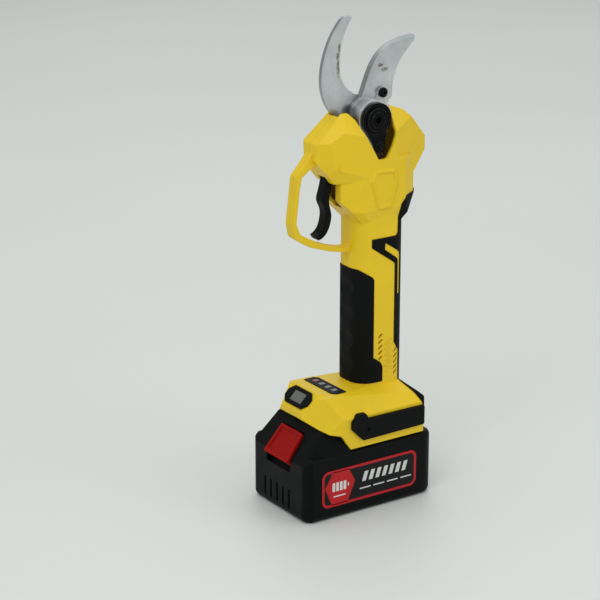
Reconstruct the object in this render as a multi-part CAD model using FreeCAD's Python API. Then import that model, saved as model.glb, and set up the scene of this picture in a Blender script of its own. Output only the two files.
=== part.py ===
import FreeCAD, Part
import math
import os

# Battery electric pruner.  Millimetres.  Origin: centre of the battery's flat underside.
# -X is the front (trigger side), -Y is the left side (lock plate side), +Z runs up to the blades.

V = FreeCAD.Vector

# ---------------------------------------------------------------- driving dimensions
# blade head
PIVOT_X, PIVOT_Z = 17.0, 290.5  # blade pivot axis, parallel to Y
BOLT_R = 5.0
BUSH_R = 6.6
RUN_FIT = 0.05                  # radial clearance of a running fit
HUB_R = 13.2                    # blade hubs
SHOULDER_R = 16.0               # round shoulder of the moving blade, above the pivot
BOSS_R = 14.2                   # bosses of the gear case and of its cover
FIXED_Y = (0.15, 3.5)           # fixed blade, near and far face
MOVING_Y = (-4.0, -0.15)        # moving blade, near and far face
SECTOR_Y = -9.7                 # outer face of the sector gear's hub
COVER_Y = (-13.6, -9.95)        # gear case cover, outer and inner face
LOCK_Y = -16.2                  # outer face of the lock plate
CASE_Y = 13.6                   # outer face of the gear case
DRIVE_SCREW = (29.0, 307.2)     # x and z of the drive screw
LOCK_TAIL = (20.3, 270.3)       # x and z of the lock plate's tail screw
COVER_SCREW_X, COVER_SCREW_Z = (13.4, 20.6), 251.0
BLADE_SCREWS = [(-1.5, 281.0), (30.5, 277.5)]
FIXED_BEVEL, MOVING_BEVEL = 2.0, 1.2
LUG_THICKNESS = 1.2             # the sector gear's lug under the drive screw
EDGE_LAND = 0.5                 # thickness left at a cutting edge

# bevel gears: both pitch cones meet at the pivot
BEVEL_RATIO = 4
PINION_TEETH = 10
BEVEL_R = (14.8, 20.4)          # inner and outer ends of the teeth, from the pivot axis
TOOTH_HEIGHT = 0.085            # addendum and dedendum per mm of cone distance, halved
SECTOR_SPAN = (-16.0, 64.0)     # degrees from straight down, towards the front

# planetary gearbox and motor, all on the vertical axis through the pivot
SUN_TEETH, PLANET_TEETH, RING_TEETH = 12, 15, 42
MODULE = 0.5
PLANETS = 3
ORBIT = MODULE * (SUN_TEETH + PLANET_TEETH) / 2
GEAR_Z = (229.0, 236.4)         # lower and upper faces of the planet gears
MOTOR_R = 11.3
MOTOR_Z = (186.0, 226.0)
GEARBOX_Z = (226.3, 244.0)
BARREL_Z = (244.3, 263.0)
BARREL_R = 11.3
SHAFT_R = 1.5                   # motor shaft
BEARING_R = 8.0                 # pinion bearings

# housing
WALL = 2.4
GRIP_DEPTH = 1.3                # thickness of rubber let into the housing
GRIP_PROUD = 0.5
HEAD_HALF = 19.0                # half width of the head
HANDLE_X = (2.5, 45.0)
HANDLE_HALF = 17.5
HANDLE_ROUND = 14.0
GUARD_HALF = 4.3
FOOT_HALF = 37.5
DECK_Z = 89.6
VENT_SLANT, VENT_PITCH = 38, 4.35
TRIGGER_HALF = 4.5
TRIGGER_PIVOT = (-13.5, 259.5)  # x and z
TRIGGER_PIN_R, TRIGGER_PIN_HALF = 1.5, 10.4
SCREW_SPOTS = [(55, 266), (-18, 269.8), (44, 237), (38, 172), (38, 126), (-27, 82), (40, 80)]
SCREW_HOLE_R, SCREW_POST_R = 1.6, 3.6
STRIP_X, STRIP_HALF = (-22.4, -10.9), 19.5
DISPLAY = (14.4, 29.5, 4.6)     # length down the slope, width, and cut corner of the bezel
SCREEN = (4.2, 7.2)             # half length and half width of the screen
TERMINAL_Y = (-14.0, -7.0, 7.0, 14.0)

# battery
BATT_X = (-58.0, 58.0)
BATT_HALF = 37.5
FRONT_END_HALF, FRONT_END_R = 36.8, 7.0
BATT_Z = 50.4
CELL_BOX_X = -52.5              # front end of the cell box
RAIL_HALF = 25.8
NECK_HALF = 21.0
CELL_R, CELL_LENGTH = 9.1, 65.0
CELL_COLUMNS, CELL_ROWS = 5, 2
CELL_PITCH = 19.3
SEAM_Z = 42.6                   # joint between the pack's two shells
PACK_WALL = 2.0
FRONT_SLOPE = ((-58, 0, 44.9), (-24.5, 0, 20))  # a point and the normal of the pack's sloped front
BUTTON_SLOPE = math.degrees(math.atan2(26.9, 22))
BUTTON_TRAVEL = 3.5
CASE_SCREWS = [(-51.5, -30), (-51.5, 30), (51.5, -31), (51.5, 31)]
LABEL = [(-45, 10), (41, 10), (41, 39.2), (-45, 39.2)]


# ---------------------------------------------------------------- small helpers
def box(x, y, z):
    """A box from three (low, high) pairs."""
    return Part.makeBox(x[1] - x[0], y[1] - y[0], z[1] - z[0], V(x[0], y[0], z[0]))


def rod(radius, start, end):
    """A cylinder between two points."""
    direction = V(*end) - V(*start)
    return Part.makeCylinder(radius, direction.Length, V(*start), direction)


def taper(radius_start, radius_end, start, end):
    """A cone frustum between two points."""
    direction = V(*end) - V(*start)
    return Part.makeCone(radius_start, radius_end, direction.Length, V(*start), direction)


def ring(outer, inner, start, end):
    return rod(outer, start, end).cut(rod(inner, start, end))


def fuse(shapes):
    shapes = list(shapes)
    return shapes[0].multiFuse(shapes[1:]).removeSplitter() if len(shapes) > 1 else shapes[0]


def group(shapes):
    return Part.makeCompound(list(shapes))


def mirror_y(shape):
    return shape.mirror(V(0, 0, 0), V(0, 1, 0))


def turned(shape, degrees, centre=(0, 0, 0), axis=(0, 0, 1)):
    copy = shape.copy()
    copy.rotate(V(*centre), V(*axis), degrees)
    return copy


def moved(shape, x=0.0, y=0.0, z=0.0):
    copy = shape.copy()
    copy.translate(V(x, y, z))
    return copy


def corner_arc(before, corner, after, radius):
    """Tangent points and middle point of the arc that rounds one corner."""
    to_before = (before - corner).normalize()
    to_after = (after - corner).normalize()
    half = to_before.getAngle(to_after) / 2
    reach = radius / math.tan(half)
    bisector = (to_before + to_after).normalize()
    middle = corner + bisector * (radius / math.sin(half) - radius)
    return corner + to_before * reach, middle, corner + to_after * reach


def outline(points, radius, place):
    """A closed wire through 2D points, every corner rounded; a point may carry its own radius."""
    corners = [V(p[0], p[1], 0) for p in points]
    radii = [p[2] if len(p) > 2 else radius for p in points]
    stations = []
    for i, corner in enumerate(corners):
        if radii[i] > 0:
            stations.append(corner_arc(corners[i - 1], corner, corners[(i + 1) % len(corners)], radii[i]))
        else:
            stations.append((corner, None, corner))
    edges = []
    for i, (start, middle, end) in enumerate(stations):
        following = stations[(i + 1) % len(stations)][0]
        if middle is not None:
            edges.append(Part.Arc(place(start), place(middle), place(end)).toShape())
        if (following - end).Length > 1e-6:
            edges.append(Part.LineSegment(place(end), place(following)).toShape())
    return Part.Wire(edges)


def side_prism(points, y, radius=0.0):
    """An outline of (x, z) points, pushed from y[0] to y[1]."""
    wire = outline(points, radius, lambda p: V(p.x, y[0], p.y))
    return Part.Face(wire).extrude(V(0, y[1] - y[0], 0))


def plan_prism(points, z, radius=0.0):
    """An outline of (x, y) points, pushed from z[0] to z[1]."""
    wire = outline(points, radius, lambda p: V(p.x, p.y, z[0]))
    return Part.Face(wire).extrude(V(0, 0, z[1] - z[0]))


def rectangle(x, y):
    return [(x[0], y[0]), (x[1], y[0]), (x[1], y[1]), (x[0], y[1])]


def trim(shape, point, normal, inset=0.0):
    """Cuts away everything beyond a plane, after moving the plane inwards by the inset."""
    size = 1200.0
    normal = V(*normal).normalize()
    slab = Part.makeBox(size, size, size, V(-size / 2, -size / 2, 0))
    slab.Placement = FreeCAD.Placement(V(*point) - normal * inset, FreeCAD.Rotation(V(0, 0, 1), normal))
    return shape.cut(slab)


def trim_both(shape, point, normal, inset=0.0):
    shape = trim(shape, point, normal, inset)
    return trim(shape, (point[0], -point[1], point[2]), (normal[0], -normal[1], normal[2]), inset)


def profile_block(points, half, inset):
    """A convex side outline (x, z), counter-clockwise, made into a block; all faces move in by the inset."""
    block = box((-200, 200), (-half + inset, half - inset), (-50, 400))
    for i, (x, z) in enumerate(points):
        next_x, next_z = points[(i + 1) % len(points)]
        block = trim(block, (x, 0, z), (next_z - z, 0, x - next_x), inset)
    return block


# ---------------------------------------------------------------- housing body, as nested solids
HEAD_PROFILE = [(-17, 246.5), (52.5, 246.5), (65.5, 261), (65.5, 271), (53, 284.5), (43.5, 294),
                (36, 296.5), (-9, 296.5), (-30.5, 276.5), (-31, 264.5)]
NECK_PROFILE = [(17, 203), (30, 203), (53.5, 231), (53.5, 262), (-11.5, 262), (-11.5, 232.5)]
FOOT_PROFILE = [(-20, 52), (51.5, 52), (51.5, 71), (48.5, 79), (38, DECK_Z), (-34.6, DECK_Z), (-47, 77),
                (-47, 73.8)]
DISPLAY_BLOCK = [(-46.8, 74.0), (-40, 70), (-23.4, 66), (-23.4, DECK_Z), (-33.8, 91.4), (-46.8, 78.4)]


def head_body(inset):
    block = profile_block(HEAD_PROFILE, HEAD_HALF, inset)
    block = trim_both(block, (0, -19, 270), (-0.2, -1, 0), inset)
    block = trim_both(block, (-21, -14.8, 270), (-0.75, -1, -0.12), inset)
    block = trim_both(block, (33, -19, 270), (0.32, -1, 0), inset)
    block = trim_both(block, (-20, -10, 284.4), (-0.793, -1, 1), inset)
    block = trim_both(block, (10, -19, 281), (0, -1, 0.65), inset)
    return trim_both(block, (-8, -17.4, 255), (-0.35, -1, -0.45), inset)


def neck_body(inset):
    block = profile_block(NECK_PROFILE, HEAD_HALF, inset)
    block = trim_both(block, (4, -19, 235), (-0.5, -1, 0), inset)
    block = trim_both(block, (41, -19, 235), (0.62, -1, 0), inset)
    block = trim_both(block, (17, -17.5, 212), (-0.6, -1, -0.8), inset)
    return trim_both(block, (20, -19, 224), (0, -1, -0.3), inset)


def handle_body(inset):
    corners = rectangle((HANDLE_X[0] + inset, HANDLE_X[1] - inset), (-HANDLE_HALF + inset, HANDLE_HALF - inset))
    return plan_prism(corners, (80, 226), HANDLE_ROUND - inset)


def foot_body(inset):
    block = profile_block(FOOT_PROFILE, FOOT_HALF, inset)
    block = trim_both(block, (-26, -37.5, 70), (-0.5, -1, 0), inset)
    block = trim_both(block, (-46.8, -12.5, 78.4), (-1.14, -1, 0.53), inset)
    block = trim_both(block, (0, -37.5, 76), (0, -1, 1.05), inset)
    block = trim_both(block, (-7, -20.5, DECK_Z), (0.17, -1, 2.6), inset)
    block = trim_both(block, (47, -37.5, 60), (1, -0.7, 0), inset)
    return fuse([block, display_body(inset)])


def display_body(inset):
    """The raised, sloped front of the foot that carries the display."""
    block = profile_block(DISPLAY_BLOCK, 22.0, inset)
    block = trim_both(block, (-46.8, -12.5, 78.4), (-1.14, -1, 0.53), inset)
    return trim_both(block, (-33.8, -15.8, 91.4), (0, -1, 1.3), inset)


def guard_body():
    outer = [(-24, 272, 0), (-31, 270, 0), (-37.2, 262.2), (-44.4, 254.3), (-48.4, 220), (-46.6, 209.5),
             (-33.3, 200.8), (-15.7, 194.8), (4, 190.8, 0), (6, 199, 0), (-4, 262, 0)]
    inner = [(HANDLE_X[0] + 0.1, 195.3, 4), (-4.9, 195.9), (-13.7, 198.2), (-25.1, 202.6), (-41.4, 211.6), (-44.8, 220),
             (-41.9, 245), (-40.2, 253.4), (-33.1, 258.5), (-24, 262, 0),
             (HANDLE_X[0] + 0.1, 262, 0)]
    y = (-GUARD_HALF, GUARD_HALF)
    loop = side_prism(outer, y, 4.0).cut(side_prism(inner, (-10, 10), 2.2))
    return trim(loop, (0, 0, 264), (1, 0, 1.2), 0)


def outer_body(inset):
    """The whole outside of the housing without its guard, every face moved in by the inset."""
    return fuse([head_body(inset), neck_body(inset), handle_body(inset), foot_body(inset)])


def rail_channel(clearance):
    """The space in the foot that the battery's rails slide through."""
    neck = box((-40, 70), (-NECK_HALF - 0.4 - clearance, NECK_HALF + 0.4 + clearance), (40, 58.4))
    flange = box((-40, 70), (-RAIL_HALF - 0.4 - clearance, RAIL_HALF + 0.4 + clearance),
                 (57.2 - clearance, 63.2 + clearance))
    nose = side_prism([(-60, 40), (-19, 40), (-19, 51.7), (-31, 69.6), (-60, 69.6)], (-60, 60))
    nose = trim_both(nose, (-31, -22, 69.6), (0, -0.4, 1))
    return fuse([neck, flange, nose])


# ---------------------------------------------------------------- housing details
SLOT = [(-4.5, 310), (-4.5, 297), (0.6, 291.5, 3), (3.2, 284.5), (13.5, 267, 4), (16.5, 261.5, 3), (24.1, 261.5, 4),
        (29, 270), (31.8, 278), (31.8, 310)]
HEX_OUTER = [(13.2, 255.4), (32.0, 254.2), (34.6, 245.6), (28.6, 223.8), (16.0, 223.6), (9.0, 246.6)]
HEX_CENTRE = (21.6, 240.0)


def hexagon_wire(factor, y):
    """The badge field's outline, scaled about its centre."""
    centre = V(HEX_CENTRE[0], y, HEX_CENTRE[1])
    points = [centre + (V(x, y, z) - centre) * factor for x, z in HEX_OUTER]
    return Part.makePolygon(points + points[:1])


def raised_hexagon():
    """The raised badge field on the side of the neck, a low frustum with a sunk centre."""
    face = -HEAD_HALF
    frustum = Part.makeLoft([hexagon_wire(1.0, face + 0.9), hexagon_wire(0.9, face - 1.2)], True, True)
    sunk = Part.makeLoft([hexagon_wire(0.74, face - 0.3), hexagon_wire(0.80, face - 1.5)], True, True)
    return frustum.cut(sunk)


def vents():
    """Two columns of slanted slots low on the handle's sides, right through the wall."""
    slots = []
    for column_x, top_z in ((21.0, 126.5), (35.0, 113.2)):
        for row in range(5):
            slot = side_prism([(-2.2, -0.75), (2.2, -0.75), (2.2, 0.75), (-2.2, 0.75)], (-30, 30), 0.7)
            slot = turned(slot, -VENT_SLANT, (0, 0, 0), (0, 1, 0))
            slots.append(moved(slot, column_x, 0, top_z - row * VENT_PITCH))
    return group(slots)


def vent_ribs():
    """Low slanted ribs pressed on the sides between the two columns of vents."""
    ribs = []
    for row in range(6):
        rib = side_prism([(-3.4, -0.6), (3.4, -0.6), (3.4, 0.6), (-3.4, 0.6)], (-0.6, 0.6), 0.5)
        rib = turned(rib, -VENT_SLANT, (0, 0, 0), (0, 1, 0))
        ribs.append(moved(rib, 28.0, -HANDLE_HALF, 121.5 - row * VENT_PITCH))
    return ribs


def screw_bosses():
    bosses = []
    for x, z in SCREW_SPOTS:
        bosses.append(rod(SCREW_POST_R, (x, -60, z), (x, 60, z)))
    return fuse(bosses)


def screw_cuts():
    cuts = []
    for x, z in SCREW_SPOTS:
        cuts.append(rod(SCREW_HOLE_R, (x, -7, z), (x, 40, z)))
        cuts.append(rod(3.1, (x, 9.2, z), (x, 40, z)))
    return group(cuts)


def trigger_slot():
    return box((-20.6, 4.0), (-TRIGGER_HALF - 0.4, TRIGGER_HALF + 0.4), (226, 266))


def blade_slot():
    return box((-11, 35), (-6.6, 5.4), (282, 400))


FRONT_GRIP = [(-5, 179.5), (4.5, 179), (13.2, 173.2), (14.6, 171), (14.6, 110.5), (21, 106), (22.9, 102.6),
              (22.9, 90.8), (-5, 90.8)]
BACK_GRIP = [(60, 248), (53, 231.5), (42.5, 231.5), (37.2, 225.5), (36.4, 218), (36.1, 204.5), (34.2, 202),
             (12.8, 202), (12.8, 195.5), (31.6, 182.5), (33.4, 180.5), (33.4, 119.5), (38, 113), (60, 105)]
BACK_STRIPE = [(24.2, 198), (23.8, 192.8), (35.4, 184.4), (36.3, 182.5), (36.3, 156.5), (38.7, 156.5),
               (38.7, 187.6), (37.2, 189.6)]
REAR_COVER = [(38.5, 113), (60, 105), (60, 58.5), (46.5, 58.5), (46.5, 73), (43.5, 80), (39.2, 88)]


def grip_region(points):
    return side_prism(points, (-60, 60))


def back_region():
    return grip_region(BACK_GRIP).cut(grip_region(BACK_STRIPE))


def bumper_bars(proud):
    """The bars along both sides of the foot, with their eight-sided front ends."""
    bar = [(-19, 73.5), (-13.8, 78.8), (-7.3, 78.6), (-4.4, 73.8), (46.5, 73.4), (46.5, 58.5), (-9, 57.7),
           (-19, 67.7)]
    left = side_prism(bar, (-FOOT_HALF - proud, -FOOT_HALF + GRIP_DEPTH), 1.2)
    return [left, mirror_y(left)]


def split_left(shape):
    return shape.common(box((-200, 200), (-100, 0), (-50, 400)))


def split_right(shape):
    return shape.common(box((-200, 200), (0, 100), (-50, 400)))


def rubber(outer_proud, outer_recess):
    """Front and back grips and the rear cover, as skins let into the housing."""
    front = outer_proud.common(grip_region(FRONT_GRIP)).cut(outer_recess)
    back = outer_proud.common(back_region()).cut(outer_recess)
    return front, back


def finger_waves():
    """Shallow hollows across the front of the front grip."""
    hollows = []
    for z in (104, 124, 144, 164):
        hollows.append(rod(24.0, (-21.2, -30, z), (-21.2, 30, z)))
    return group(hollows)


def side_screw_heads():
    dimple = rod(1.7, (-5.2, -60, 65.9), (-5.2, -FOOT_HALF - 1.2, 65.9))
    return group([dimple, mirror_y(dimple)])


def housing_parts():
    outer = outer_body(0.0)
    recess = outer_body(GRIP_DEPTH)
    proud = outer_body(-GRIP_PROUD)
    cavity = outer_body(WALL)

    front_grip, back_grip = rubber(proud, recess)
    front_grip = front_grip.cut(finger_waves())
    rear_cover = proud.common(grip_region(REAR_COVER)).cut(recess)
    bars = bumper_bars(2.2)
    bumper = fuse([rear_cover] + bars).cut(side_screw_heads())
    bumper = bumper.cut(back_grip)

    channel_walls = rail_channel(2.0)
    hollow = cavity.cut(channel_walls)
    hollow = hollow.cut(screw_bosses())
    shell = outer.cut(grip_region(FRONT_GRIP).cut(recess))
    shell = shell.cut(back_region().cut(recess))
    shell = shell.cut(grip_region(REAR_COVER).cut(recess))
    shell = shell.cut(fuse(bumper_bars(5.0)))
    shell = fuse([shell, guard_body(), raised_hexagon(), mirror_y(raised_hexagon())])
    shell = shell.cut(hollow)
    ribs = vent_ribs()
    shell = fuse([shell] + trigger_pin_eyes() + ribs + [mirror_y(rib) for rib in ribs])
    shell = shell.cut(rail_channel(0.0))
    slot = side_prism(SLOT, (-60, -4.9))
    shell = shell.cut(group([slot, mirror_y(slot)]))
    shell = shell.cut(blade_slot())
    shell = shell.cut(trigger_slot())
    shell = shell.cut(vents())
    shell = shell.cut(screw_cuts())
    shell = shell.cut(fuse([display_recess(), strip_recess()]))
    shell = shell.cut(box((-60, -29.5), (-5.2, 5.2), (69, 72.8)))
    shell = shell.cut(box((35.8, 46.2), (-18.2, 18.2), (60, 70)))
    return shell, front_grip, back_grip, bumper


# ---------------------------------------------------------------- blades and pivot
FIXED_INNER = [(5.5, 363.4), (-2.3, 348.5), (-5.0, 333.3), (-3.2, 319.4), (4.6, 309.8), (14.0, 306.4)]
FIXED_OUTER = [(-6.6, 291.5), (-16.2, 302.3), (-20.5, 317.3), (-18.8, 334.0), (-12.0, 351.0), (-3.2, 362.6)]
MOVING_EDGE = [(11.2, 307.8), (15.0, 317.5), (21.9, 331.1), (30.4, 339.2), (44.5, 344.8), (58.0, 346.0)]
MOVING_BACK = [(57.6, 341.8), (50.1, 334.6), (44.0, 326.8), (39.9, 317.0), (38.4, 303.6)]


def shifted_curve(points, distance):
    """The points of a curve moved sideways, to the left of its direction."""
    result = []
    for i, (x, z) in enumerate(points):
        before = points[max(i - 1, 0)]
        after = points[min(i + 1, len(points) - 1)]
        dx, dz = after[0] - before[0], after[1] - before[1]
        length = math.hypot(dx, dz)
        result.append((x - dz / length * distance, z + dx / length * distance))
    return result


def spline_edge(points, y):
    curve = Part.BSplineCurve()
    curve.interpolate([V(x, y, z) for x, z in points])
    return curve.toShape()


def straight_edge(start, end, y):
    return Part.LineSegment(V(start[0], y, start[1]), V(end[0], y, end[1])).toShape()


def blade_wire(edge, rest, y):
    """A closed wire: the cutting edge's spline, then the rest as splines (lists) and corners (pairs)."""
    pieces = [spline_edge(edge, y)]
    last = edge[-1]
    for part in rest + [edge[0]]:
        points = part if isinstance(part, list) else [part]
        if math.dist(last, points[0]) > 1e-6:
            pieces.append(straight_edge(last, points[0], y))
        if len(points) > 1:
            pieces.append(spline_edge(points, y))
        last = points[-1]
    return Part.Wire(pieces)


def bevelled_blade(edge, rest, shear_y, outer_y, bevel):
    """A blade with its full outline at the shear face, and its edge set back by the bevel at the other face."""
    land_y = shear_y + math.copysign(EDGE_LAND, outer_y - shear_y)
    full = blade_wire(edge, rest, shear_y)
    land = Part.Face(full).extrude(V(0, land_y - shear_y, 0))
    set_back = shifted_curve(edge, bevel)
    body = Part.makeLoft([blade_wire(edge, rest, land_y), blade_wire(set_back, rest, outer_y)], True, True)
    return fuse([land, body])


def hub(radius, y):
    return rod(radius, (PIVOT_X, y[0], PIVOT_Z), (PIVOT_X, y[1], PIVOT_Z))


def fixed_blade():
    rest = [(17, 303), (17, 285), (8, 276), (0, 275.5), (-6.5, 279), (-8.6, 284)] + [FIXED_OUTER]
    rest += [(-0.6, 364.1), (1.6, 364.5)]
    blade = bevelled_blade(FIXED_INNER, rest, FIXED_Y[0], FIXED_Y[1], -FIXED_BEVEL)
    ear = side_prism([(17, 285, 0), (20, 300, 0), (34, 283), (36, 276), (31, 272.6), (27, 277)], FIXED_Y, 2.5)
    blade = fuse([blade, hub(HUB_R, FIXED_Y), ear])
    blade = blade.cut(hub(BOLT_R + 0.02, FIXED_Y))
    for x, z in BLADE_SCREWS:
        blade = blade.cut(rod(2.05, (x, -20, z), (x, 20, z)))
    return blade


def moving_blade():
    rest = [MOVING_BACK, (33, 297), (17, 286), (7, 296)]
    blade = bevelled_blade(MOVING_EDGE, rest, MOVING_Y[1], MOVING_Y[0], -MOVING_BEVEL)
    shoulder = hub(SHOULDER_R, MOVING_Y).common(box((-10, 40), MOVING_Y, (PIVOT_Z - 1, 400)))
    blade = fuse([blade, hub(HUB_R, MOVING_Y), shoulder])
    blade = blade.cut(hub(BUSH_R, MOVING_Y))
    x, z = DRIVE_SCREW
    return blade.cut(rod(2.05, (x, -20, z), (x, 20, z)))


def hex_socket(x, y, z, across, depth):
    """A hexagonal prism along Y, to cut as a socket."""
    points = [V(x + across / math.sqrt(3) * math.cos(math.radians(60 * k)), y,
                z + across / math.sqrt(3) * math.sin(math.radians(60 * k))) for k in range(6)]
    return Part.Face(Part.makePolygon(points + points[:1])).extrude(V(0, depth, 0))


def button_screw(x, z, head_y, seat_y, end_y, head_r, shank_r, across):
    """A round-headed socket screw along Y, its head between head_y and seat_y."""
    crown = head_y + (seat_y - head_y) * 0.35
    head = rod(head_r, (x, crown, z), (x, seat_y, z))
    dome = taper(head_r * 0.7, head_r, (x, head_y, z), (x, crown, z))
    screw = fuse([head, dome, rod(shank_r, (x, seat_y, z), (x, end_y, z))])
    return screw.cut(hex_socket(x, head_y, z, across, (seat_y - head_y) * 0.7))


def pivot_bolt():
    """The blade bolt: a serrated head with a deep hexagonal socket, a plain shank, and a threaded end."""
    head_r, serrations = 9.0, 24
    head = hub(head_r - 0.7, (LOCK_Y - 0.6, COVER_Y[0]))
    teeth = [turned(box((PIVOT_X - 0.75, PIVOT_X + 0.75), (LOCK_Y - 0.2, COVER_Y[0]),
                        (PIVOT_Z + head_r - 1.6, PIVOT_Z + head_r)), 360 / serrations * k,
                    (PIVOT_X, 0, PIVOT_Z), (0, 1, 0)) for k in range(serrations)]
    collar = hub(5.6, (LOCK_Y - 1.6, LOCK_Y - 0.6))
    bolt = fuse([head, collar, hub(BOLT_R, (COVER_Y[0], 18.6))] + teeth)
    return bolt.cut(hex_socket(PIVOT_X, LOCK_Y - 1.6, PIVOT_Z, 5.0, 4.0))


def pivot_nut():
    nut = hex_socket(PIVOT_X, CASE_Y + 1.0, PIVOT_Z, 15.0, 3.6)
    washer = hub(9.6, (CASE_Y, CASE_Y + 1.0))
    return fuse([nut, washer]).cut(hub(BOLT_R, (0, 30)))


def lock_plate():
    """Black teardrop plate with a raised rim, which keeps the bolt head from turning."""
    tail_x, tail_z = LOCK_TAIL
    plate = hub(12.4, (LOCK_Y + 0.9, COVER_Y[0]))
    neck = side_prism([(PIVOT_X - 10.4, 284), (PIVOT_X + 9.6, 284), (tail_x + 4.2, tail_z + 2),
                       (tail_x - 4.7, tail_z)], (LOCK_Y + 0.9, COVER_Y[0]))
    tail = rod(4.9, (tail_x, LOCK_Y + 0.9, tail_z), (tail_x, COVER_Y[0], tail_z))
    rim = hub(12.4, (LOCK_Y, LOCK_Y + 0.9)).cut(hub(10.6, (LOCK_Y, LOCK_Y + 0.9)))
    boss = rod(3.4, (tail_x, LOCK_Y + 0.2, tail_z), (tail_x, COVER_Y[0], tail_z))
    plate = fuse([plate, neck, tail, rim, boss]).cut(hub(9.1, (-30, 0)))
    return plate.cut(rod(1.55, (tail_x, -30, tail_z), (tail_x, 0, tail_z)))


def gear_case_cover():
    """Silver cover: the boss round the bolt, a narrow tail, and a foot screwed to the bearing barrel."""
    boss = hub(BOSS_R, COVER_Y)
    tail = side_prism([(PIVOT_X - 11.6, 283), (PIVOT_X + 11.6, 283), (23.4, 268), (23.4, 247, 3),
                       (10.6, 247, 3), (10.6, 268)], COVER_Y, 1.5)
    cover = fuse([boss, tail]).cut(hub(BOLT_R + 0.02, (-30, 0)))
    cover = cover.cut(rod(1.5, (LOCK_TAIL[0], -30, LOCK_TAIL[1]), (LOCK_TAIL[0], 0, LOCK_TAIL[1])))
    for x in COVER_SCREW_X:
        cover = cover.cut(rod(1.55, (x, -30, COVER_SCREW_Z), (x, 0, COVER_SCREW_Z)))
    return cover


def gear_case():
    """The aluminium body behind the fixed blade, down to the barrel that holds the pinion's bearings."""
    boss = hub(BOSS_R, (FIXED_Y[1], CASE_Y))
    web = side_prism([(6, 284), (28, 284), (26.5, 262), (26.5, 248), (7.5, 248), (7.5, 262)],
                     (9.6, CASE_Y), 1.5)
    arms = side_prism([(-6, 284), (-6, 278), (2, 277), (12, 281), (22, 281), (28, 273.5), (35, 274), (35, 281),
                       (28, 290), (8, 290)], (FIXED_Y[1], CASE_Y - 4), 2.0)
    arms = arms.cut(rod(7.6, (PIVOT_X, 0, 262), (PIVOT_X, 0, 278)))
    barrel = rod(BARREL_R, (PIVOT_X, 0, BARREL_Z[0]), (PIVOT_X, 0, BARREL_Z[1]))
    barrel = trim(barrel, (0, COVER_Y[1], 0), (0, -1, 0))
    pad = box((10.6, 23.4), (COVER_Y[1], 0), (247, 256))
    case = fuse([boss, web, arms, barrel, pad]).cut(rod(BEARING_R, (PIVOT_X, 0, 240), (PIVOT_X, 0, 261)))
    case = case.cut(rod(6.4, (PIVOT_X, 0, 260), (PIVOT_X, 0, 270)))
    case = case.cut(hub(BOLT_R + 0.02, (0, 30)))
    for x, z in BLADE_SCREWS:
        case = case.cut(rod(1.95, (x, -20, z), (x, 20, z))).cut(rod(3.7, (x, CASE_Y - 4, z), (x, 20, z)))
    for x in COVER_SCREW_X:
        case = case.cut(rod(1.5, (x, COVER_Y[1], COVER_SCREW_Z), (x, COVER_Y[1] + 1.9, COVER_SCREW_Z)))
    return case


# ---------------------------------------------------------------- bevel gears
def bevel_tooth(side):
    """One tapered tooth, pointing down from the pivot.  side is +1 for the sector gear, -1 for the pinion."""
    cone = math.atan(1 / BEVEL_RATIO)
    along = V(0, -math.sin(cone), -math.cos(cone))
    outward = V(0, math.cos(cone), -math.sin(cone)) * side
    apex = V(PIVOT_X, 0, PIVOT_Z)
    sections = []
    for distance in BEVEL_R:
        reach = distance / math.cos(cone)
        pitch = apex + along * distance
        height = reach * TOOTH_HEIGHT / 2
        pitch_width = math.pi * distance / (BEVEL_RATIO * PINION_TEETH) * 0.72
        corners = []
        for level, width in ((-2.0, 1.15), (0.85, 0.42)):
            for sign in (-1, 1):
                corners.append(pitch + outward * (level * height) + V(sign * pitch_width * width / 2, 0, 0))
        ordered = [corners[0], corners[1], corners[3], corners[2], corners[0]]
        sections.append(Part.makePolygon(ordered))
    return Part.makeLoft(sections, True, True)


def sector_gear():
    """Turned hub, bevel sector and the lug that the drive screw holds to the blade."""
    face_y = -BEVEL_R[1] / BEVEL_RATIO - 1.25
    plate_points = [(0.0, 0.0)]
    for degrees in range(int(SECTOR_SPAN[0]), int(SECTOR_SPAN[1]) + 1, 8):
        angle = math.radians(degrees)
        plate_points.append((-math.sin(angle) * BEVEL_R[1], -math.cos(angle) * BEVEL_R[1]))
    plate = side_prism([(PIVOT_X + x, PIVOT_Z + z) for x, z in plate_points], (SECTOR_Y, face_y))
    tooth = bevel_tooth(1)
    pitch_angle = 360 / (BEVEL_RATIO * PINION_TEETH)
    first = math.ceil((SECTOR_SPAN[0] + 2) / pitch_angle)
    last = math.floor((SECTOR_SPAN[1] - 2) / pitch_angle)
    teeth = [turned(tooth, pitch_angle * k, (PIVOT_X, 0, PIVOT_Z), (0, 1, 0)) for k in range(first, last + 1)]
    lug_x, lug_z = DRIVE_SCREW
    lug_y = (MOVING_Y[0] - LUG_THICKNESS, MOVING_Y[0])
    lug_end = rod(3.4, (lug_x, lug_y[0], lug_z), (lug_x, lug_y[1], lug_z))
    lug = side_prism([(PIVOT_X + 4, 300), (lug_x - 2.9, lug_z + 1.8), (lug_x + 2.9, lug_z - 1.8),
                      (PIVOT_X + 11, 294)], lug_y)
    gear = fuse([hub(13.8, (SECTOR_Y, MOVING_Y[0])), plate, lug, lug_end] + teeth)
    gear = gear.cut(hub(BUSH_R, (-30, 0)))
    return gear.cut(rod(2.05, (lug_x, -30, lug_z), (lug_x, 0, lug_z)))


def pinion_drive_end():
    return rod(3.0, (PIVOT_X, 0, 240.6), (PIVOT_X, 0, 246.0))


def pinion_flat():
    """What the flat on the pinion's drive end cuts away."""
    return box((PIVOT_X + 2.3, PIVOT_X + 5), (-5, 5), (240, 245))


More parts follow.
